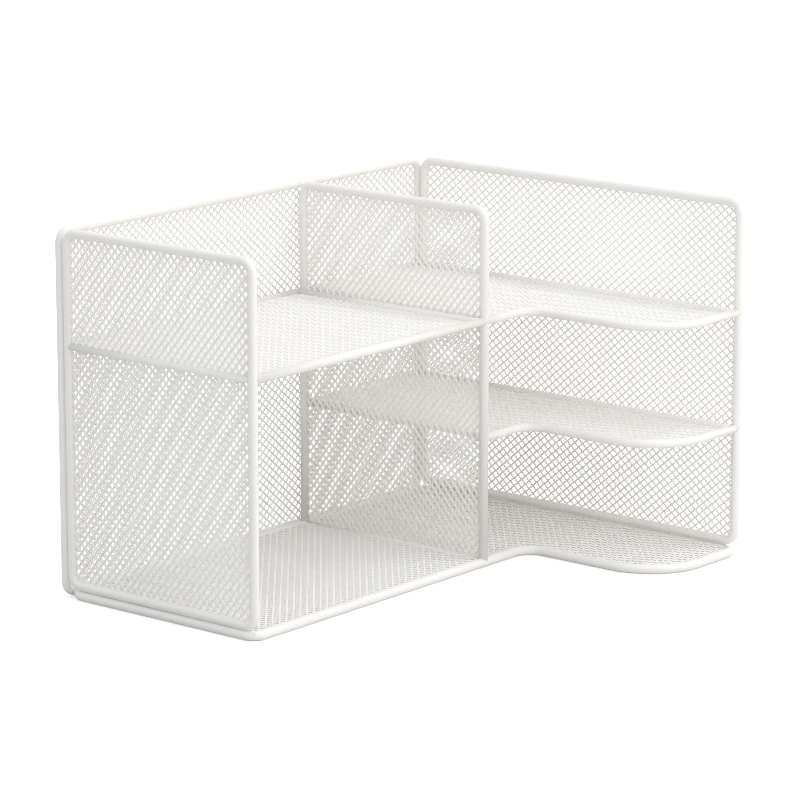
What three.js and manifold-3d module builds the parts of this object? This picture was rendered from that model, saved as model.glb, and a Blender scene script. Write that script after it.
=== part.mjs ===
// Desktop book rack: a tray, a left, a back and a right panel, a divider and three shelves.
// Each is a bent steel rod frame with a sheet of expanded metal welded inside it.
// Millimetres. +X is right, -Y is the front, +Z is up, and the rack stands on Z = 0.
import * as THREE from 'three';
import { mergeVertices } from 'three/addons/utils/BufferGeometryUtils.js';
import Module from 'manifold-3d';

const wasm = await Module();
wasm.setup();

// Overall sizes, measured over the panel frames
const rackWidth = 390;
const rackHeight = 260;
const leftDepth = 180;
const rightDepth = 299.6;

// Where the divider, the shelves and the forward step stand, at their rods' centre lines
const dividerX = 53;
const upperShelfZ = 178.3;
const middleShelfZ = 94.3;
const stepX = 103.8;

// Rod diameters
const trayRod = 6.8;
const panelRod = 6.3;
const shelfRod = 6.2;
const railRod = 5.3;

// Bend radii, at the rods' centre lines
const trayBend = 9;
const panelBend = 8;
const stepInnerBend = 16.4;
const stepOuterBend = 44.6;
const bendSag = 0.2;

// Expanded metal. The real diamonds are 7.05 by 6 mm between strand centres. The modelled ones and
// their strands are diamondRatio times as large, with the same open share.
const diamondLong = 7.05;
const diamondShort = 6;
const diamondStrand = 0.8;
const diamondRatio = 6.8;
const sheetThickness = 1.2;
const sheetBorder = 1.6;
const traySheetRise = 1.9;
const quarterRatio = 1 / 3;

// Welded pieces lie this far apart, and a cutter reaches this far past what it cuts
const weldGap = 0.3;
const cutPast = 1;

// Centre lines that several pieces share. Depths are counted from the back face, towards the front.
const sideX = rackWidth / 2 - panelRod / 2;
const backLine = panelRod / 2;
const trayBack = backLine + panelRod / 2 + weldGap + trayRod / 2;
const leftFront = leftDepth - panelRod / 2;
const rightFront = rightDepth - panelRod / 2;
const uprightBack = backLine + panelRod + weldGap;
const railBottom = trayRod + weldGap + panelRod / 2;
const railTop = rackHeight - panelRod / 2;
const shelfBack = panelRod + weldGap + shelfRod / 2;
const besideFrame = panelRod / 2 + weldGap + shelfRod / 2;

const coating = { color: 0xf3f2ef, roughness: 0.42, metalness: 0 };

// Corners of an outline. They run anticlockwise, turn by right angles, and have a bend radius or 0.
function rectangle(left, low, right, high, bend) {
  return [
    { x: left, y: low, bend },
    { x: right, y: low, bend },
    { x: right, y: high, bend },
    { x: left, y: high, bend },
  ];
}

// Plan of the tray and of the right bay's shelves: shallow at the left, with an S-shaped step that
// comes forward at stepX.
function steppedPlan(left, right, back, bend) {
  return [
    { x: left, y: -leftFront, bend },
    { x: stepX, y: -leftFront, bend: stepInnerBend },
    { x: stepX, y: -rightFront, bend: stepOuterBend },
    { x: right, y: -rightFront, bend },
    { x: right, y: -back, bend },
    { x: left, y: -back, bend },
  ];
}

// The outline through the corners, moved outwards by grow, with each bend as an arc.
function bentOutline(corners, grow) {
  const points = corners.flatMap((corner, i) => {
    const before = corners[(i + corners.length - 1) % corners.length];
    const after = corners[(i + 1) % corners.length];
    const arriving = new THREE.Vector2(corner.x - before.x, corner.y - before.y).normalize();
    const leaving = new THREE.Vector2(after.x - corner.x, after.y - corner.y).normalize();
    const turn = Math.sign(arriving.cross(leaving));
    const radius = corner.bend + turn * grow;
    if (corner.bend === 0 || radius <= 0) {
      const mitreX = corner.x + grow * (arriving.y + leaving.y);
      const mitreY = corner.y - grow * (arriving.x + leaving.x);
      return [new THREE.Vector2(mitreX, mitreY)];
    }
    const centreX = corner.x + corner.bend * (leaving.x - arriving.x);
    const centreY = corner.y + corner.bend * (leaving.y - arriving.y);
    const from = Math.atan2(-leaving.y, -leaving.x);
    const to = Math.atan2(arriving.y, arriving.x);
    const arc = new THREE.EllipseCurve(centreX, centreY, radius, radius, from, to, turn < 0);
    const stepAngle = 2 * Math.acos(1 - bendSag / corner.bend);
    return arc.getPoints(Math.ceil(Math.PI / 2 / stepAngle));
  });
  return new THREE.Shape(points);
}

// Eight-sided rod with flats above, below and to the sides: a flat band whose edges are bevelled.
function rodFromBand(band, rod, flat) {
  const bevel = (rod - flat) / 2;
  const geometry = new THREE.ExtrudeGeometry(band, {
    depth: flat,
    bevelThickness: bevel,
    bevelSize: bevel,
    bevelSegments: 1,
  });
  return geometry.translate(0, 0, -flat / 2);
}

function flatOf(rod) {
  return rod * Math.tan(Math.PI / 8);
}

// Closed rod frame along the corners, lying in the XY plane.
function rodFrame(corners, rod) {
  const flat = flatOf(rod);
  const band = bentOutline(corners, flat / 2);
  band.holes.push(bentOutline(corners, -flat / 2));
  return rodFromBand(band, rod, flat);
}

function toSolid(geometry) {
  const bare = geometry.clone();
  bare.deleteAttribute('normal');
  bare.deleteAttribute('uv');
  const merged = mergeVertices(bare);
  return new wasm.Manifold(new wasm.Mesh({
    numProp: 3,
    vertProperties: new Float32Array(merged.attributes.position.array),
    triVerts: new Uint32Array(merged.index.array),
  }));
}

function toGeometry(solid) {
  const mesh = solid.getMesh();
  const geometry = new THREE.BufferGeometry();
  geometry.setAttribute('position', new THREE.BufferAttribute(mesh.vertProperties, 3));
  geometry.setIndex(new THREE.BufferAttribute(mesh.triVerts, 1));
  geometry.computeVertexNormals();
  return geometry;
}

function slab(shapes, thickness) {
  const geometry = new THREE.ExtrudeGeometry(shapes, { depth: thickness, bevelEnabled: false });
  return geometry.translate(0, 0, -thickness / 2);
}

function isInside(x, y, outline) {
  return outline.reduce((inside, corner, i) => {
    const next = outline[(i + 1) % outline.length];
    const spans = corner.y > y !== next.y > y;
    const crossing = corner.x + ((y - corner.y) * (next.x - corner.x)) / (next.y - corner.y);
    return spans && x < crossing ? !inside : inside;
  }, false);
}

// Rod round three sides of the corners' rectangle: its closed frame, of which only what lies past
// start along the axis is kept.
function rodBracket(corners, rod, axis, start) {
  return toGeometry(toSolid(rodFrame(corners, rod)).trimByPlane(axis, start));
}

// The diamond openings of one sheet: a staggered grid, its pitch drawn in a little so that a whole
// number of half diamonds fills the field each way. The field's edge halves the outer ones, and one
// that would keep less than a quarter is left out.
function diamondOpenings(field, longAlongX) {
  const outline = field.getPoints();
  const box = new THREE.Box2().setFromPoints(outline);
  const size = box.getSize(new THREE.Vector2());
  const long = diamondLong * diamondRatio;
  const short = diamondShort * diamondRatio;
  const columns = Math.ceil(size.x / ((longAlongX ? long : short) / 2));
  const rows = Math.ceil(size.y / ((longAlongX ? short : long) / 2));
  const pitchX = size.x / columns;
  const pitchY = size.y / rows;
  const slant = Math.atan2(pitchY, pitchX);
  const halfStrand = (diamondStrand * diamondRatio) / 2;
  const halfX = pitchX - halfStrand / Math.sin(slant);
  const halfY = pitchY - halfStrand / Math.cos(slant);
  const openings = [];
  for (let column = 0; column <= columns; column += 1) {
    for (let row = 0; row <= rows; row += 1) {
      if ((column + row) % 2 !== 0) continue;
      const x = box.min.x + column * pitchX;
      const y = box.min.y + row * pitchY;
      const quarters = [[-1, -1], [1, -1], [1, 1], [-1, 1]];
      const remains = ([signX, signY]) => (
        isInside(x + signX * halfX * quarterRatio, y + signY * halfY * quarterRatio, outline)
      );
      if (quarters.some(remains)) {
        const diamond = new THREE.Shape();
        diamond.moveTo(x - halfX, y);
        diamond.lineTo(x, y - halfY);
        diamond.lineTo(x + halfX, y);
        diamond.lineTo(x, y + halfY);
        openings.push(diamond);
      }
    }
  }
  return openings;
}

// Sheet of expanded metal inside the corners' outline, moved in by inset, with a narrow plain border.
function meshSheet(corners, inset, longAlongX) {
  const plate = toSolid(slab(bentOutline(corners, -inset), sheetThickness));
  const field = bentOutline(corners, -inset - sheetBorder);
  const deep = sheetThickness + 2 * cutPast;
  const openings = toSolid(slab(diamondOpenings(field, longAlongX), deep));
  return toGeometry(plate.subtract(openings.intersect(toSolid(slab(field, deep)))));
}

function piece(name, geometry) {
  const mesh = new THREE.Mesh(geometry, new THREE.MeshStandardMaterial(coating));
  mesh.name = name;
  return mesh;
}

// Groups whose pieces are drawn flat and then stood up. A side panel's x is its depth and its y is
// the height. The back panel's x stays x.
function sidePanel(x, pieces) {
  const panel = new THREE.Group();
  const depth = new THREE.Vector3(0, -1, 0);
  const height = new THREE.Vector3(0, 0, 1);
  panel.quaternion.setFromRotationMatrix(
    new THREE.Matrix4().makeBasis(depth, height, new THREE.Vector3(-1, 0, 0)),
  );
  panel.position.x = x;
  return panel.add(...pieces);
}

function level(z, pieces) {
  const floor = new THREE.Group();
  floor.position.z = z;
  return floor.add(...pieces);
}

// Tray, with a rod under the divider that parts its mesh between the bays
const insideTray = trayRod / 2 + weldGap;
const leftTrayMesh = rectangle(-sideX, -leftFront, dividerX, -trayBack, 0);
leftTrayMesh[0].bend = trayBend;
leftTrayMesh[3].bend = trayBend;
const rightTrayMesh = steppedPlan(dividerX, sideX, trayBack, trayBend);
rightTrayMesh[0].bend = 0;
rightTrayMesh[5].bend = 0;
const trayCrossLength = leftFront - trayBack - 2 * insideTray;
const trayCrossRod = piece(
  'bottom_tray_cross_rod',
  new THREE.CylinderGeometry(trayRod / 2, trayRod / 2, trayCrossLength, 16),
);
trayCrossRod.position.set(dividerX, -(leftFront + trayBack) / 2, 0);
const traySheet = (corners) => meshSheet(corners, insideTray, true).translate(0, 0, traySheetRise);
const tray = level(trayRod / 2, [
  piece('bottom_tray_rim', rodFrame(steppedPlan(-sideX, sideX, trayBack, trayBend), trayRod)),
  trayCrossRod,
  piece('bottom_tray_left_mesh', traySheet(leftTrayMesh)),
  piece('bottom_tray_right_mesh', traySheet(rightTrayMesh)),
]);

// Left panel, with a cross rail that parts its mesh at shelf height
const insidePanel = panelRod / 2 + weldGap;
const besideRail = railRod / 2 + weldGap;
const shallowFrame = rectangle(uprightBack, railBottom, leftFront, railTop, panelBend);
const meshBack = uprightBack + insidePanel;
const meshFront = leftFront - insidePanel;
const meshBend = Math.max(panelBend - insidePanel, 0);
const upperMesh = rectangle(meshBack, upperShelfZ + besideRail, meshFront, railTop - insidePanel, 0);
upperMesh[2].bend = meshBend;
upperMesh[3].bend = meshBend;
const lowerMesh = rectangle(meshBack, railBottom + insidePanel, meshFront, upperShelfZ - besideRail, 0);
lowerMesh[0].bend = meshBend;
lowerMesh[1].bend = meshBend;
const crossRail = piece(
  'left_panel_cross_rail',
  new THREE.CylinderGeometry(railRod / 2, railRod / 2, meshFront - meshBack, 16).rotateZ(Math.PI / 2),
);
crossRail.position.set((meshBack + meshFront) / 2, upperShelfZ, 0);
const leftPanel = sidePanel(-sideX, [
  piece('left_panel_frame', rodFrame(shallowFrame, panelRod)),
  crossRail,
  piece('left_panel_upper_mesh', meshSheet(upperMesh, 0, false)),
  piece('left_panel_lower_mesh', meshSheet(lowerMesh, 0, false)),
]);

// Back panel, over the full width, behind the tray and as low as it
const backFrame = rectangle(-sideX, trayRod / 2, sideX, railTop, panelBend);
const backPanel = new THREE.Group();
backPanel.rotation.x = Math.PI / 2;
backPanel.position.y = -backLine;
backPanel.add(
  piece('back_panel_frame', rodFrame(backFrame, panelRod)),
  piece('back_panel_mesh', meshSheet(backFrame, insidePanel, true)),
);

// Right panel, as deep as the right bay
const deepFrame = rectangle(uprightBack, railBottom, rightFront, railTop, panelBend);
const rightPanel = sidePanel(sideX, [
  piece('right_panel_frame', rodFrame(deepFrame, panelRod)),
  piece('right_panel_mesh', meshSheet(deepFrame, insidePanel, true)),
]);

// Divider between the bays: a rod bent over from front to back, whose two legs stand on the tray
const dividerFoot = trayRod + weldGap;
const dividerFrame = rectangle(uprightBack, -panelBend, leftFront, railTop, panelBend);
const dividerMesh = rectangle(meshBack, dividerFoot, meshFront, railTop - insidePanel, 0);
dividerMesh[2].bend = meshBend;
dividerMesh[3].bend = meshBend;
const divider = sidePanel(dividerX, [
  piece('divider_frame', rodBracket(dividerFrame, panelRod, [0, 1, 0], dividerFoot)),
  piece('divider_mesh', meshSheet(dividerMesh, 0, false)),
]);

// Left shelf: its rod runs round three sides, and the cross rail closes the fourth
const insideShelf = shelfRod / 2 + weldGap;
const shelfLeft = -sideX + insidePanel;
const shelfRight = dividerX - besideFrame;
const leftShelfMesh = rectangle(
  shelfLeft,
  -leftFront + insideShelf,
  shelfRight - insideShelf,
  -shelfBack - insideShelf,
  0,
);
const leftShelfFrame = rectangle(-sideX - shelfRod, -leftFront, shelfRight, -shelfBack, 0);
const leftShelf = level(upperShelfZ, [
  piece('left_shelf_rim', rodBracket(leftShelfFrame, shelfRod, [1, 0, 0], shelfLeft)),
  piece('left_shelf_mesh', meshSheet(leftShelfMesh, 0, true)),
]);

// Right bay's two shelves, alike
const rightShelfPlan = steppedPlan(dividerX + besideFrame, sideX - besideFrame, shelfBack, 0);
const rightShelf = (name, z) => level(z, [
  piece(`${name}_rim`, rodFrame(rightShelfPlan, shelfRod)),
  piece(`${name}_mesh`, meshSheet(rightShelfPlan, insideShelf, true)),
]);

// The rack, centred over its origin
const rack = new THREE.Group();
rack.add(
  tray,
  leftPanel,
  backPanel,
  rightPanel,
  divider,
  leftShelf,
  rightShelf('right_upper_shelf', upperShelfZ),
  rightShelf('right_middle_shelf', middleShelfZ),
);
rack.position.y = (rightFront + trayRod / 2) / 2;

export default rack;
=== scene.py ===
import math

import bmesh
import bpy
from mathutils import Matrix, Vector


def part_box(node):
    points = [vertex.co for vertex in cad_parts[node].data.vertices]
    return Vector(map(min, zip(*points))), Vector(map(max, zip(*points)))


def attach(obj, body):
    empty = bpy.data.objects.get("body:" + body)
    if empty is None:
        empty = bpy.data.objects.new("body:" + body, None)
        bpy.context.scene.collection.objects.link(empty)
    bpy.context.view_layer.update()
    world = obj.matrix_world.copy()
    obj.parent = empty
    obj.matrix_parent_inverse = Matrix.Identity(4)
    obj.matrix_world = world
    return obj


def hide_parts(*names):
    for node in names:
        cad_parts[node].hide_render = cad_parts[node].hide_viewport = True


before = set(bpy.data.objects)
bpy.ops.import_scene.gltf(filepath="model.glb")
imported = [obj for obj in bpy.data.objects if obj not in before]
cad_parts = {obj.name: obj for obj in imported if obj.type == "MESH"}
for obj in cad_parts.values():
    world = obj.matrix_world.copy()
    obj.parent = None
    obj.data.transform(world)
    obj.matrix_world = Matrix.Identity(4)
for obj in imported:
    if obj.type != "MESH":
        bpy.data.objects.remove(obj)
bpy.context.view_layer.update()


# Tray rim
# One round steel rod, bent flat to the tray's outline with an S-shaped step towards the deep bay.
# Its ends are butt-welded, it is powder-coated white, and the whole rack stands on it.
ROD_SIDES = 24
BEND_SAG = 0.00002
WELD_MERGE = 0.000001


def rod_ring(parts):
    """The edges among the parts of a bmesh result that close the rod's open end."""
    corners = {part for part in parts if isinstance(part, bmesh.types.BMVert)}
    edges = [part for part in parts if isinstance(part, bmesh.types.BMEdge)]
    return [edge for edge in edges if corners.issuperset(edge.verts)]


def draw_rod(shape, stops, rod, closed):
    """Bends a rod through the stops, each a place and its bend's radius, and welds a closed one."""
    places = [Vector(place) for place, bend in stops]
    bends = [bend for place, bend in stops]
    count = len(stops)
    headings = [(places[(i + 1) % count] - places[i]).normalized() for i in range(count)]
    here = places[0] + headings[0] * bends[0]
    facing = Matrix.Translation(here) @ headings[0].to_track_quat("Z", "Y").to_matrix().to_4x4()
    made = bmesh.ops.create_circle(
        shape, cap_ends=not closed, segments=ROD_SIDES, radius=rod / 2, matrix=facing
    )
    ring = list({edge for corner in made["verts"] for edge in corner.link_edges})
    for i in range(1, count + 1 if closed else count):
        corner = places[i % count]
        bend = bends[i % count]
        arriving = headings[i - 1]
        there = corner - arriving * bend
        made = bmesh.ops.extrude_edge_only(shape, edges=ring)
        ends = [part for part in made["geom"] if isinstance(part, bmesh.types.BMVert)]
        bmesh.ops.translate(shape, verts=ends, vec=there - here)
        ring = rod_ring(made["geom"])
        here = there
        if bend == 0:
            continue
        leaving = headings[i % count]
        angle = arriving.angle(leaving)
        step_angle = 2 * math.acos(1 - BEND_SAG / bend)
        made = bmesh.ops.spin(
            shape,
            geom=ring,
            cent=there + leaving * bend,
            axis=arriving.cross(leaving),
            angle=angle,
            steps=math.ceil(angle / step_angle),
            use_merge=False,
        )
        ring = rod_ring(made["geom_last"])
        here = corner + leaving * bend
    if not closed:
        bmesh.ops.edgeloop_fill(shape, edges=ring)
    bmesh.ops.remove_doubles(shape, verts=shape.verts, dist=WELD_MERGE)


def finish_piece(name, shape, material, slot, *nodes):
    """Makes the mesh an object of the rack that stands for its CAD nodes."""
    mesh = bpy.data.meshes.new(name)
    shape.to_mesh(mesh)
    shape.free()
    mesh.materials.append(material)
    piece = bpy.data.objects.new(name, mesh)
    bpy.context.scene.collection.objects.link(piece)
    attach(piece, "root")
    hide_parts(*nodes)
    return piece


def finish_rods(name, shape, node):
    """A piece made of coated rod."""
    bmesh.ops.recalc_face_normals(shape, faces=shape.faces)
    for face in shape.faces:
        face.smooth = len(face.verts) == 4
    return finish_piece(name, shape, rod_coat, "coated_rod", node)


WHITE = (0.92, 0.915, 0.9)
COAT_IOR = 1.5
CLOUD_SCALE = 14
CLOUD_DETAIL = 3
CLOUD_FROM = 0.3
CLOUD_TO = 0.7
CLOUD_SHADE = 0.985
PEEL_DETAIL = 2
PEEL_STRENGTH = 0.35
SHEEN_SPREAD = 0.04


def powder_coat(name, tint, roughness, grain, relief):
    """Baked powder coat: nearly even in colour, with a fine orange-peel skin."""
    material = bpy.data.materials.new(name)
    material.use_nodes = True
    nodes = material.node_tree.nodes
    links = material.node_tree.links
    shader = nodes["Principled BSDF"]
    shader.inputs["IOR"].default_value = COAT_IOR
    place = nodes.new("ShaderNodeTexCoord")
    film = nodes.new("ShaderNodeTexNoise")
    film.inputs["Scale"].default_value = CLOUD_SCALE
    film.inputs["Detail"].default_value = CLOUD_DETAIL
    links.new(place.outputs["Object"], film.inputs["Vector"])
    colour = nodes.new("ShaderNodeValToRGB")
    colour.color_ramp.elements[0].position = CLOUD_FROM
    colour.color_ramp.elements[0].color = [share * CLOUD_SHADE for share in tint] + [1]
    colour.color_ramp.elements[1].position = CLOUD_TO
    colour.color_ramp.elements[1].color = list(tint) + [1]
    links.new(film.outputs["Fac"], colour.inputs["Fac"])
    links.new(colour.outputs["Color"], shader.inputs["Base Color"])
    peel = nodes.new("ShaderNodeTexNoise")
    peel.inputs["Scale"].default_value = grain
    peel.inputs["Detail"].default_value = PEEL_DETAIL
    links.new(place.outputs["Object"], peel.inputs["Vector"])
    sheen = nodes.new("ShaderNodeMapRange")
    sheen.inputs["To Min"].default_value = roughness - SHEEN_SPREAD
    sheen.inputs["To Max"].default_value = roughness + SHEEN_SPREAD
    links.new(peel.outputs["Fac"], sheen.inputs["Value"])
    links.new(sheen.outputs["Result"], shader.inputs["Roughness"])
    bump = nodes.new("ShaderNodeBump")
    bump.inputs["Strength"].default_value = PEEL_STRENGTH
    bump.inputs["Distance"].default_value = relief
    links.new(peel.outputs["Fac"], bump.inputs["Height"])
    links.new(bump.outputs["Normal"], shader.inputs["Normal"])
    return material


rod_coat = powder_coat("rod powder coat", WHITE, roughness=0.38, grain=900, relief=0.00004)

tray_low, tray_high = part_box("bottom_tray_rim")
TRAY_ROD = tray_high.z - tray_low.z
TRAY_Z = (tray_high.z + tray_low.z) / 2
TRAY_BACK_Y = tray_high.y - TRAY_ROD / 2
TRAY_BEND = 0.009
STEP_X = 0.1038
STEP_INNER_BEND = 0.0164
STEP_OUTER_BEND = 0.0446
PANEL_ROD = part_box("left_panel_frame")[1].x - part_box("left_panel_frame")[0].x
SHALLOW_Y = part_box("left_panel_frame")[0].y + PANEL_ROD / 2
DEEP_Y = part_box("right_panel_frame")[0].y + PANEL_ROD / 2
LEFT_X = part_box("left_panel_frame")[0].x + PANEL_ROD / 2
RIGHT_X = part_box("right_panel_frame")[0].x + PANEL_ROD / 2
BACK_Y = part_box("back_panel_frame")[0].y + PANEL_ROD / 2

tray_rim = bmesh.new()
draw_rod(
    tray_rim,
    [
        ((LEFT_X, SHALLOW_Y, TRAY_Z), TRAY_BEND),
        ((STEP_X, SHALLOW_Y, TRAY_Z), STEP_INNER_BEND),
        ((STEP_X, DEEP_Y, TRAY_Z), STEP_OUTER_BEND),
        ((RIGHT_X, DEEP_Y, TRAY_Z), TRAY_BEND),
        ((RIGHT_X, TRAY_BACK_Y, TRAY_Z), TRAY_BEND),
        ((LEFT_X, TRAY_BACK_Y, TRAY_Z), TRAY_BEND),
    ],
    TRAY_ROD,
    closed=True,
)
finish_rods("tray_rim", tray_rim, "bottom_tray_rim")


# Tray cross rod
# A straight rod of the same steel lies in the tray's plane under the divider, from the front of the
# rim to its back, and parts the tray's mesh in two.
DIVIDER_X = (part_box("divider_frame")[0].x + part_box("divider_frame")[1].x) / 2


def butt_rod(shape, first, last, rod):
    """A straight rod whose ends run into the rods that it is welded to."""
    draw_rod(shape, [(first, 0), (last, 0)], rod, closed=False)


tray_cross = bmesh.new()
butt_rod(tray_cross, (DIVIDER_X, SHALLOW_Y, TRAY_Z), (DIVIDER_X, TRAY_BACK_Y, TRAY_Z), TRAY_ROD)
finish_rods("tray_cross_rod", tray_cross, "bottom_tray_cross_rod")


# Tray mesh
# Expanded steel: sheets slit and pulled open into diamonds, one for each bay, cut to the tray's
# outline, welded in near the top of its rods and coated with them. The diamonds lie along the tray.
DIAMOND_LONG = 0.00705
DIAMOND_SHORT = 0.006
SHEET = 0.0010
STRAND = 0.0011
LEAN = 0.0005
EDGE_INSET = 0.0006


def cut_edge(shape, place, outwards):
    """Shears the sheet off straight at a place."""
    bmesh.ops.bisect_plane(
        shape,
        geom=shape.verts[:] + shape.edges[:] + shape.faces[:],
        plane_co=place,
        plane_no=outwards,
        clear_outer=True,
    )


def expand_metal(low, high, long_along_x):
    """A flat field of diamond cells between two corners, not yet opened."""
    pitch_x = DIAMOND_LONG if long_along_x else DIAMOND_SHORT
    pitch_y = DIAMOND_SHORT if long_along_x else DIAMOND_LONG
    width = high[0] - low[0]
    height = high[1] - low[1]
    cells = 2 * math.ceil((width / pitch_x + height / pitch_y) / 2)
    shape = bmesh.new()
    bmesh.ops.create_grid(shape, x_segments=cells, y_segments=cells, size=cells / 2)
    bmesh.ops.rotate(shape, verts=shape.verts, matrix=Matrix.Rotation(math.radians(45), 3, "Z"))
    bmesh.ops.scale(
        shape, verts=shape.verts, vec=(pitch_x / math.sqrt(2), pitch_y / math.sqrt(2), 1)
    )
    middle = ((low[0] + high[0]) / 2, (low[1] + high[1]) / 2, 0)
    bmesh.ops.translate(shape, verts=shape.verts, vec=middle)
    cut_edge(shape, (low[0], 0, 0), (-1, 0, 0))
    cut_edge(shape, (high[0], 0, 0), (1, 0, 0))
    cut_edge(shape, (0, low[1], 0), (0, -1, 0))
    cut_edge(shape, (0, high[1], 0), (0, 1, 0))
    return shape


def cut_step(shape):
    """Takes the cells out of the sheet that lie in front of the S-shaped step."""
    inner = Vector((STEP_X - STEP_INNER_BEND, SHALLOW_Y - STEP_INNER_BEND))
    outer = Vector((STEP_X + STEP_OUTER_BEND, DEEP_Y + STEP_OUTER_BEND))
    cut = []
    for face in shape.faces:
        place = face.calc_center_median().to_2d()
        if place.x > outer.x or place.y > SHALLOW_Y + EDGE_INSET:
            continue
        if place.x > STEP_X + EDGE_INSET:
            past = place.y < outer.y and (place - outer).length > STEP_OUTER_BEND - EDGE_INSET
        else:
            in_fillet = place.x > inner.x and place.y > inner.y
            past = not in_fillet or (place - inner).length < STEP_INNER_BEND + EDGE_INSET
        if past:
            cut.append(face)
    bmesh.ops.delete(shape, geom=cut, context="FACES")


def open_diamonds(shape, long_along_x, stand):
    """Opens every cell, tips the strands along the diamonds' short way and stands the sheet up."""
    short_way = 1 if long_along_x else 0
    cells = shape.faces[:]
    bmesh.ops.inset_individual(shape, faces=cells, thickness=STRAND / 2, use_even_offset=True)
    near_corners = []
    far_corners = []
    for cell in cells:
        middle = cell.calc_center_median()[short_way]
        for corner in cell.verts:
            if corner.co[short_way] < middle - DIAMOND_SHORT / 4:
                near_corners.append(corner)
            if corner.co[short_way] > middle + DIAMOND_SHORT / 4:
                far_corners.append(corner)
    bmesh.ops.translate(shape, verts=near_corners, vec=(0, 0, LEAN))
    bmesh.ops.translate(shape, verts=far_corners, vec=(0, 0, -LEAN))
    bmesh.ops.delete(shape, geom=cells, context="FACES")
    bmesh.ops.transform(shape, verts=shape.verts, matrix=stand)


def finish_sheet(name, shape, node):
    """A piece of coated mesh, with the sheet's thickness."""
    piece = finish_piece(name, shape, mesh_coat, "coated_mesh", node)
    wall = piece.modifiers.new("sheet thickness", "SOLIDIFY")
    wall.thickness = SHEET
    wall.offset = 0
    return piece


mesh_coat = powder_coat("mesh powder coat", WHITE, roughness=0.42, grain=1200, relief=0.00002)

sheet_low, sheet_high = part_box("bottom_tray_left_mesh")
TRAY_STAND = Matrix.Translation((0, 0, (sheet_low.z + sheet_high.z) / 2))
left_tray = expand_metal((LEFT_X, SHALLOW_Y), (DIVIDER_X, TRAY_BACK_Y), long_along_x=True)
open_diamonds(left_tray, long_along_x=True, stand=TRAY_STAND)
finish_sheet("tray_left_sheet", left_tray, "bottom_tray_left_mesh")
right_tray = expand_metal((DIVIDER_X, DEEP_Y), (RIGHT_X, TRAY_BACK_Y), long_along_x=True)
cut_step(right_tray)
open_diamonds(right_tray, long_along_x=True, stand=TRAY_STAND)
finish_sheet("tray_right_sheet", right_tray, "bottom_tray_right_mesh")


# Left panel
# A closed rod frame with round corners stands on the tray's left edge. A thinner rail crosses it
# between the uprights and carries the shelf, and a sheet of mesh is welded in above and below it.
PANEL_BEND = 0.008
left_low, left_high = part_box("left_panel_frame")
PANEL_BACK_Y = left_high.y - PANEL_ROD / 2
PANEL_LOW_Z = left_low.z + PANEL_ROD / 2
PANEL_HIGH_Z = left_high.z - PANEL_ROD / 2
rail_low, rail_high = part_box("left_panel_cross_rail")
RAIL_ROD = rail_high.x - rail_low.x
RAIL_Z = (rail_low.z + rail_high.z) / 2
SIDE_STAND = Matrix(((0, 0, -1, 0), (1, 0, 0, 0), (0, 1, 0, 0), (0, 0, 0, 1)))


def side_frame(x, front):
    """Closed upright rod frame across the rack's depth."""
    shape = bmesh.new()
    draw_rod(
        shape,
        [
            ((x, front, PANEL_LOW_Z), PANEL_BEND),
            ((x, front, PANEL_HIGH_Z), PANEL_BEND),
            ((x, PANEL_BACK_Y, PANEL_HIGH_Z), PANEL_BEND),
            ((x, PANEL_BACK_Y, PANEL_LOW_Z), PANEL_BEND),
        ],
        PANEL_ROD,
        closed=True,
    )
    return shape


def side_mesh(x, front, low_z, high_z, long_along_depth):
    """Upright sheet of mesh across the rack's depth."""
    shape = expand_metal((front, low_z), (PANEL_BACK_Y, high_z), long_along_depth)
    stand = Matrix.Translation((x, 0, 0)) @ SIDE_STAND
    open_diamonds(shape, long_along_depth, stand)
    return shape


finish_rods("left_frame", side_frame(LEFT_X, SHALLOW_Y), "left_panel_frame")
left_rail = bmesh.new()
butt_rod(left_rail, (LEFT_X, SHALLOW_Y, RAIL_Z), (LEFT_X, PANEL_BACK_Y, RAIL_Z), RAIL_ROD)
finish_rods("left_cross_rail", left_rail, "left_panel_cross_rail")
left_upper = side_mesh(LEFT_X, SHALLOW_Y, RAIL_Z, PANEL_HIGH_Z, long_along_depth=False)
finish_sheet("left_upper_mesh", left_upper, "left_panel_upper_mesh")
left_lower = side_mesh(LEFT_X, SHALLOW_Y, PANEL_LOW_Z, RAIL_Z, long_along_depth=False)
finish_sheet("left_lower_mesh", left_lower, "left_panel_lower_mesh")


# Back panel
# The same rod frame over the rack's whole width, with one sheet of mesh. It is welded on behind the
# tray and the side panels' uprights, and its lower rod lies as low as the tray's.
BACK_LOW_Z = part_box("back_panel_frame")[0].z + PANEL_ROD / 2
BACK_STAND = Matrix(((1, 0, 0, 0), (0, 0, -1, BACK_Y), (0, 1, 0, 0), (0, 0, 0, 1)))

back_frame = bmesh.new()
draw_rod(
    back_frame,
    [
        ((LEFT_X, BACK_Y, BACK_LOW_Z), PANEL_BEND),
        ((RIGHT_X, BACK_Y, BACK_LOW_Z), PANEL_BEND),
        ((RIGHT_X, BACK_Y, PANEL_HIGH_Z), PANEL_BEND),
        ((LEFT_X, BACK_Y, PANEL_HIGH_Z), PANEL_BEND),
    ],
    PANEL_ROD,
    closed=True,
)
finish_rods("back_frame", back_frame, "back_panel_frame")
back_mesh = expand_metal((LEFT_X, BACK_LOW_Z), (RIGHT_X, PANEL_HIGH_Z), long_along_x=True)
open_diamonds(back_mesh, long_along_x=True, stand=BACK_STAND)
finish_sheet("back_mesh", back_mesh, "back_panel_mesh")


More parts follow.
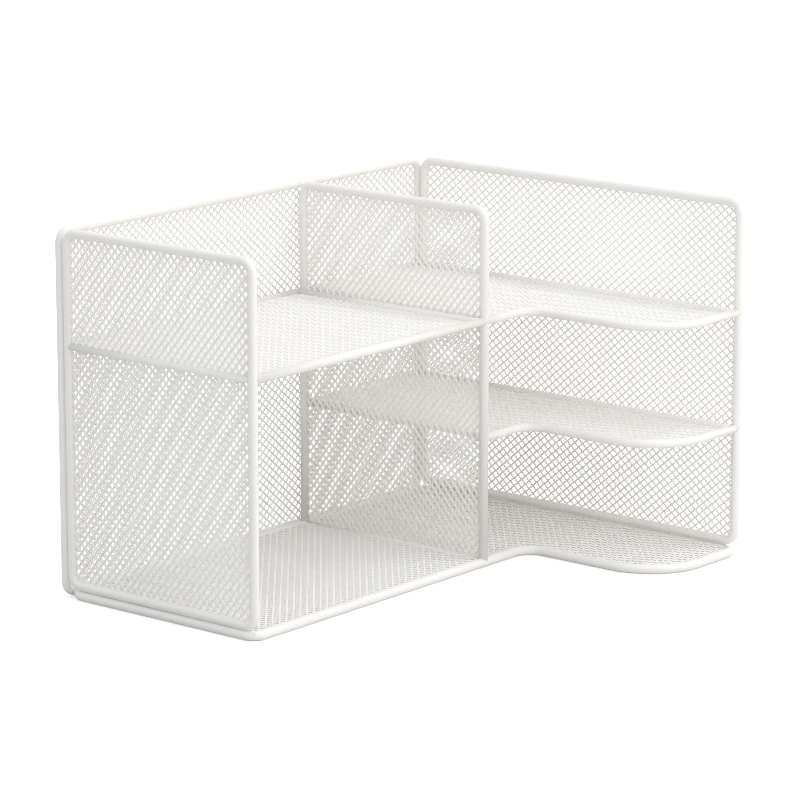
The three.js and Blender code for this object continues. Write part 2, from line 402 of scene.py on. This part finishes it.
# Right panel
# Built as the left one is, but as deep as the right bay and with no rail, so that one sheet of
# mesh fills it.
finish_rods("right_frame", side_frame(RIGHT_X, DEEP_Y), "right_panel_frame")
right_mesh = side_mesh(RIGHT_X, DEEP_Y, PANEL_LOW_Z, PANEL_HIGH_Z, long_along_depth=True)
finish_sheet("right_mesh", right_mesh, "right_panel_mesh")


# Divider
# One rod, bent over from front to back at the side panels' height, whose two legs stand on the
# tray's rim where the cross rod meets it. Mesh fills it down to the cross rod.
divider_rod = bmesh.new()
draw_rod(
    divider_rod,
    [
        ((DIVIDER_X, SHALLOW_Y, TRAY_Z), 0),
        ((DIVIDER_X, SHALLOW_Y, PANEL_HIGH_Z), PANEL_BEND),
        ((DIVIDER_X, PANEL_BACK_Y, PANEL_HIGH_Z), PANEL_BEND),
        ((DIVIDER_X, PANEL_BACK_Y, TRAY_Z), 0),
    ],
    PANEL_ROD,
    closed=False,
)
finish_rods("divider_frame_rod", divider_rod, "divider_frame")
divider_mesh = side_mesh(DIVIDER_X, SHALLOW_Y, TRAY_Z, PANEL_HIGH_Z, long_along_depth=False)
finish_sheet("divider_sheet", divider_mesh, "divider_mesh")


# Left shelf
# Rods run round three sides of the shelf: the front one from upright to upright, one along the
# divider and one along the back panel. The left panel's rail is the fourth side.
shelf_low, shelf_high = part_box("left_shelf_rim")
SHELF_ROD = shelf_high.z - shelf_low.z
SHELF_Z = (shelf_low.z + shelf_high.z) / 2
SHELF_BACK_Y = shelf_high.y - SHELF_ROD / 2
SHELF_SIDE_X = shelf_high.x - SHELF_ROD / 2

left_rods = bmesh.new()
for across_y in (SHALLOW_Y, SHELF_BACK_Y):
    butt_rod(left_rods, (LEFT_X, across_y, SHELF_Z), (DIVIDER_X, across_y, SHELF_Z), SHELF_ROD)
side_front = (SHELF_SIDE_X, SHALLOW_Y, SHELF_Z)
side_back = (SHELF_SIDE_X, SHELF_BACK_Y, SHELF_Z)
butt_rod(left_rods, side_front, side_back, SHELF_ROD)
finish_rods("left_shelf_rods", left_rods, "left_shelf_rim")
left_shelf = expand_metal((LEFT_X, SHALLOW_Y), (SHELF_SIDE_X, SHELF_BACK_Y), long_along_x=True)
open_diamonds(left_shelf, long_along_x=True, stand=Matrix.Translation((0, 0, SHELF_Z)))
finish_sheet("left_shelf_sheet", left_shelf, "left_shelf_mesh")


# Right bay's shelves
# Two alike, one above the other. Each has a front rod with the tray's S-shaped step, from the
# divider's upright to the right panel's, and straight rods along the divider, the back and the side.
for level_name in ("right_upper_shelf", "right_middle_shelf"):
    level_low, level_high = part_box(level_name + "_rim")
    level_z = (level_low.z + level_high.z) / 2
    near_x = level_low.x + SHELF_ROD / 2
    far_x = level_high.x - SHELF_ROD / 2
    rods = bmesh.new()
    draw_rod(
        rods,
        [
            ((DIVIDER_X, SHALLOW_Y, level_z), 0),
            ((STEP_X, SHALLOW_Y, level_z), STEP_INNER_BEND),
            ((STEP_X, DEEP_Y, level_z), STEP_OUTER_BEND),
            ((RIGHT_X, DEEP_Y, level_z), 0),
        ],
        SHELF_ROD,
        closed=False,
    )
    butt_rod(rods, (near_x, SHALLOW_Y, level_z), (near_x, SHELF_BACK_Y, level_z), SHELF_ROD)
    butt_rod(rods, (far_x, DEEP_Y, level_z), (far_x, SHELF_BACK_Y, level_z), SHELF_ROD)
    butt_rod(rods, (near_x, SHELF_BACK_Y, level_z), (far_x, SHELF_BACK_Y, level_z), SHELF_ROD)
    finish_rods(level_name + "_rods", rods, level_name + "_rim")
    sheet = expand_metal((near_x, DEEP_Y), (far_x, SHELF_BACK_Y), long_along_x=True)
    cut_step(sheet)
    open_diamonds(sheet, long_along_x=True, stand=Matrix.Translation((0, 0, level_z)))
    finish_sheet(level_name + "_sheet", sheet, level_name + "_mesh")


# Floor
# A wide pale surface under the rack. It is white where no shadow falls on it.
FLOOR_SIZE = 14.0
FLOOR_PAINT = (0.68, 0.68, 0.68, 1)
FLOOR_ROUGHNESS = 0.9
FLOOR_LIFT = 0.5
PLAIN_WHITE = (1, 1, 1, 1)

floor_mesh = bpy.data.meshes.new("floor")
floor_shape = bmesh.new()
bmesh.ops.create_grid(floor_shape, x_segments=1, y_segments=1, size=FLOOR_SIZE)
floor_shape.to_mesh(floor_mesh)
floor_shape.free()
floor = bpy.data.objects.new("floor", floor_mesh)
bpy.context.scene.collection.objects.link(floor)

floor_paint = bpy.data.materials.new("pale floor")
floor_paint.use_nodes = True
floor_nodes = floor_paint.node_tree.nodes
floor_links = floor_paint.node_tree.links
floor_shader = floor_nodes["Principled BSDF"]
floor_shader.inputs["Base Color"].default_value = FLOOR_PAINT
floor_shader.inputs["Roughness"].default_value = FLOOR_ROUGHNESS
floor_shader.inputs["Emission Color"].default_value = PLAIN_WHITE
floor_path = floor_nodes.new("ShaderNodeLightPath")
floor_lift = floor_nodes.new("ShaderNodeMath")
floor_lift.operation = "MULTIPLY"
floor_lift.inputs[1].default_value = FLOOR_LIFT
floor_links.new(floor_path.outputs["Is Camera Ray"], floor_lift.inputs[0])
floor_links.new(floor_lift.outputs["Value"], floor_shader.inputs["Emission Strength"])
floor_mesh.materials.append(floor_paint)


# Light
# Soft white light from above and all round, weakest from the left, and one lamp from above the front
# right that draws the soft shadows on the shelves. A wide lamp in front lights the bays' insides, and
# a low warm one shines in through the right panel.
KEY_TO_LIGHT = Vector((0.30, -0.345, 0.96))
KEY_STRENGTH = 0.38
KEY_ANGLE = math.radians(7)
WINDOW_PLACE = Vector((-0.15, -1.25, 0.45))
WINDOW_SIZE = 1.0
WINDOW_POWER = 4.2
WINDOW_TINT = (1, 0.99, 0.98)
LAMP_PLACE = Vector((1.1, -0.15, 0.2))
LAMP_SIZE = 0.6
LAMP_POWER = 2
LAMP_TINT = (1, 0.75, 0.5)
SKY_STRENGTH = 0.98
SKY_FROM = 0.1
SKY_TO = 0.8
SIDE_STRENGTH = 0.68
LEFT_STRENGTH = 0.48
LEFT_FROM = 0.1
LEFT_TO = 0.9
TO_LEFT = (-0.95, -0.31, 0)
RIGHT_LIFT = 0.4
RIGHT_FROM = 0.2
RIGHT_TO = 0.9
WARM = (1, 0.93, 0.86, 1)
SEEN_STRENGTH = 1

key_data = bpy.data.lights.new("key", "SUN")
key_data.energy = KEY_STRENGTH
key_data.angle = KEY_ANGLE
key = bpy.data.objects.new("key", key_data)
key.rotation_euler = KEY_TO_LIGHT.to_track_quat("Z", "Y").to_euler()
bpy.context.scene.collection.objects.link(key)


def soft_lamp(name, place, size, power, tint):
    """A square soft lamp that faces the rack."""
    lamp_data = bpy.data.lights.new(name, "AREA")
    lamp_data.energy = power
    lamp_data.size = size
    lamp_data.color = tint
    lamp = bpy.data.objects.new(name, lamp_data)
    lamp.location = place
    lamp.rotation_euler = place.to_track_quat("Z", "Y").to_euler()
    bpy.context.scene.collection.objects.link(lamp)


soft_lamp("front window", WINDOW_PLACE, WINDOW_SIZE, WINDOW_POWER, WINDOW_TINT)
soft_lamp("right lamp", LAMP_PLACE, LAMP_SIZE, LAMP_POWER, LAMP_TINT)

world = bpy.data.worlds.new("studio")
world.use_nodes = True
bpy.context.scene.world = world
sky_nodes = world.node_tree.nodes
sky_links = world.node_tree.links
sky = sky_nodes["Background"]
sky_way = sky_nodes.new("ShaderNodeTexCoord")
sky_side = sky_nodes.new("ShaderNodeSeparateXYZ")
sky_links.new(sky_way.outputs["Generated"], sky_side.inputs["Vector"])
sky_warmth = sky_nodes.new("ShaderNodeMapRange")
sky_warmth.inputs["From Min"].default_value = RIGHT_FROM
sky_warmth.inputs["From Max"].default_value = RIGHT_TO
sky_links.new(sky_side.outputs["X"], sky_warmth.inputs["Value"])
sky_tint = sky_nodes.new("ShaderNodeMix")
sky_tint.data_type = "RGBA"
sky_tint.inputs["A"].default_value = PLAIN_WHITE
sky_tint.inputs["B"].default_value = WARM
sky_links.new(sky_warmth.outputs["Result"], sky_tint.inputs["Factor"])
sky_facing = sky_nodes.new("ShaderNodeVectorMath")
sky_facing.operation = "DOT_PRODUCT"
sky_facing.inputs[1].default_value = TO_LEFT
sky_links.new(sky_way.outputs["Generated"], sky_facing.inputs[0])
sky_level = sky_nodes.new("ShaderNodeMapRange")
sky_level.interpolation_type = "SMOOTHSTEP"
sky_level.inputs["From Min"].default_value = LEFT_FROM
sky_level.inputs["From Max"].default_value = LEFT_TO
sky_level.inputs["To Min"].default_value = SIDE_STRENGTH
sky_level.inputs["To Max"].default_value = LEFT_STRENGTH
sky_links.new(sky_facing.outputs["Value"], sky_level.inputs["Value"])
sky_lift = sky_nodes.new("ShaderNodeMath")
sky_lift.operation = "MULTIPLY_ADD"
sky_lift.inputs[1].default_value = RIGHT_LIFT
sky_links.new(sky_warmth.outputs["Result"], sky_lift.inputs[0])
sky_links.new(sky_level.outputs["Result"], sky_lift.inputs[2])
sky_height = sky_nodes.new("ShaderNodeMapRange")
sky_height.interpolation_type = "SMOOTHSTEP"
sky_height.inputs["From Min"].default_value = SKY_FROM
sky_height.inputs["From Max"].default_value = SKY_TO
sky_height.inputs["To Max"].default_value = SKY_STRENGTH
sky_links.new(sky_side.outputs["Z"], sky_height.inputs["Value"])
sky_links.new(sky_lift.outputs["Value"], sky_height.inputs["To Min"])
sky_path = sky_nodes.new("ShaderNodeLightPath")
sky_seen = sky_nodes.new("ShaderNodeMix")
sky_seen.data_type = "FLOAT"
sky_seen.inputs["B"].default_value = SEEN_STRENGTH
sky_links.new(sky_path.outputs["Is Camera Ray"], sky_seen.inputs["Factor"])
sky_links.new(sky_height.outputs["Result"], sky_seen.inputs["A"])
sky_links.new(sky_seen.outputs["Result"], sky.inputs["Strength"])
sky_white = sky_nodes.new("ShaderNodeMix")
sky_white.data_type = "RGBA"
sky_white.inputs["B"].default_value = PLAIN_WHITE
sky_links.new(sky_path.outputs["Is Camera Ray"], sky_white.inputs["Factor"])
sky_links.new(sky_tint.outputs["Result"], sky_white.inputs["A"])
sky_links.new(sky_white.outputs["Result"], sky.inputs["Color"])


# Camera
# The photograph's view: from the front left and a little above, through a long lens.
CAMERA_PLACE = Vector((-2.0788, -1.7035, 0.7453))
CAMERA_TILT = math.radians(77.048)
CAMERA_TURN = math.radians(-50.565)
CAMERA_LENS = 177.82
SENSOR_WIDTH = 36
FAR_CLIP = 100
PIXEL_FILTER = 0.7
DIFFUSE_BOUNCES = 12

camera_data = bpy.data.cameras.new("camera")
camera_data.lens = CAMERA_LENS
camera_data.sensor_width = SENSOR_WIDTH
camera_data.clip_end = FAR_CLIP
camera = bpy.data.objects.new("camera", camera_data)
camera.location = CAMERA_PLACE
camera.rotation_euler = (CAMERA_TILT, 0, CAMERA_TURN)
bpy.context.scene.collection.objects.link(camera)
bpy.context.scene.camera = camera
bpy.context.scene.view_settings.view_transform = "Standard"
bpy.context.scene.cycles.filter_width = PIXEL_FILTER
bpy.context.scene.cycles.diffuse_bounces = DIFFUSE_BOUNCES
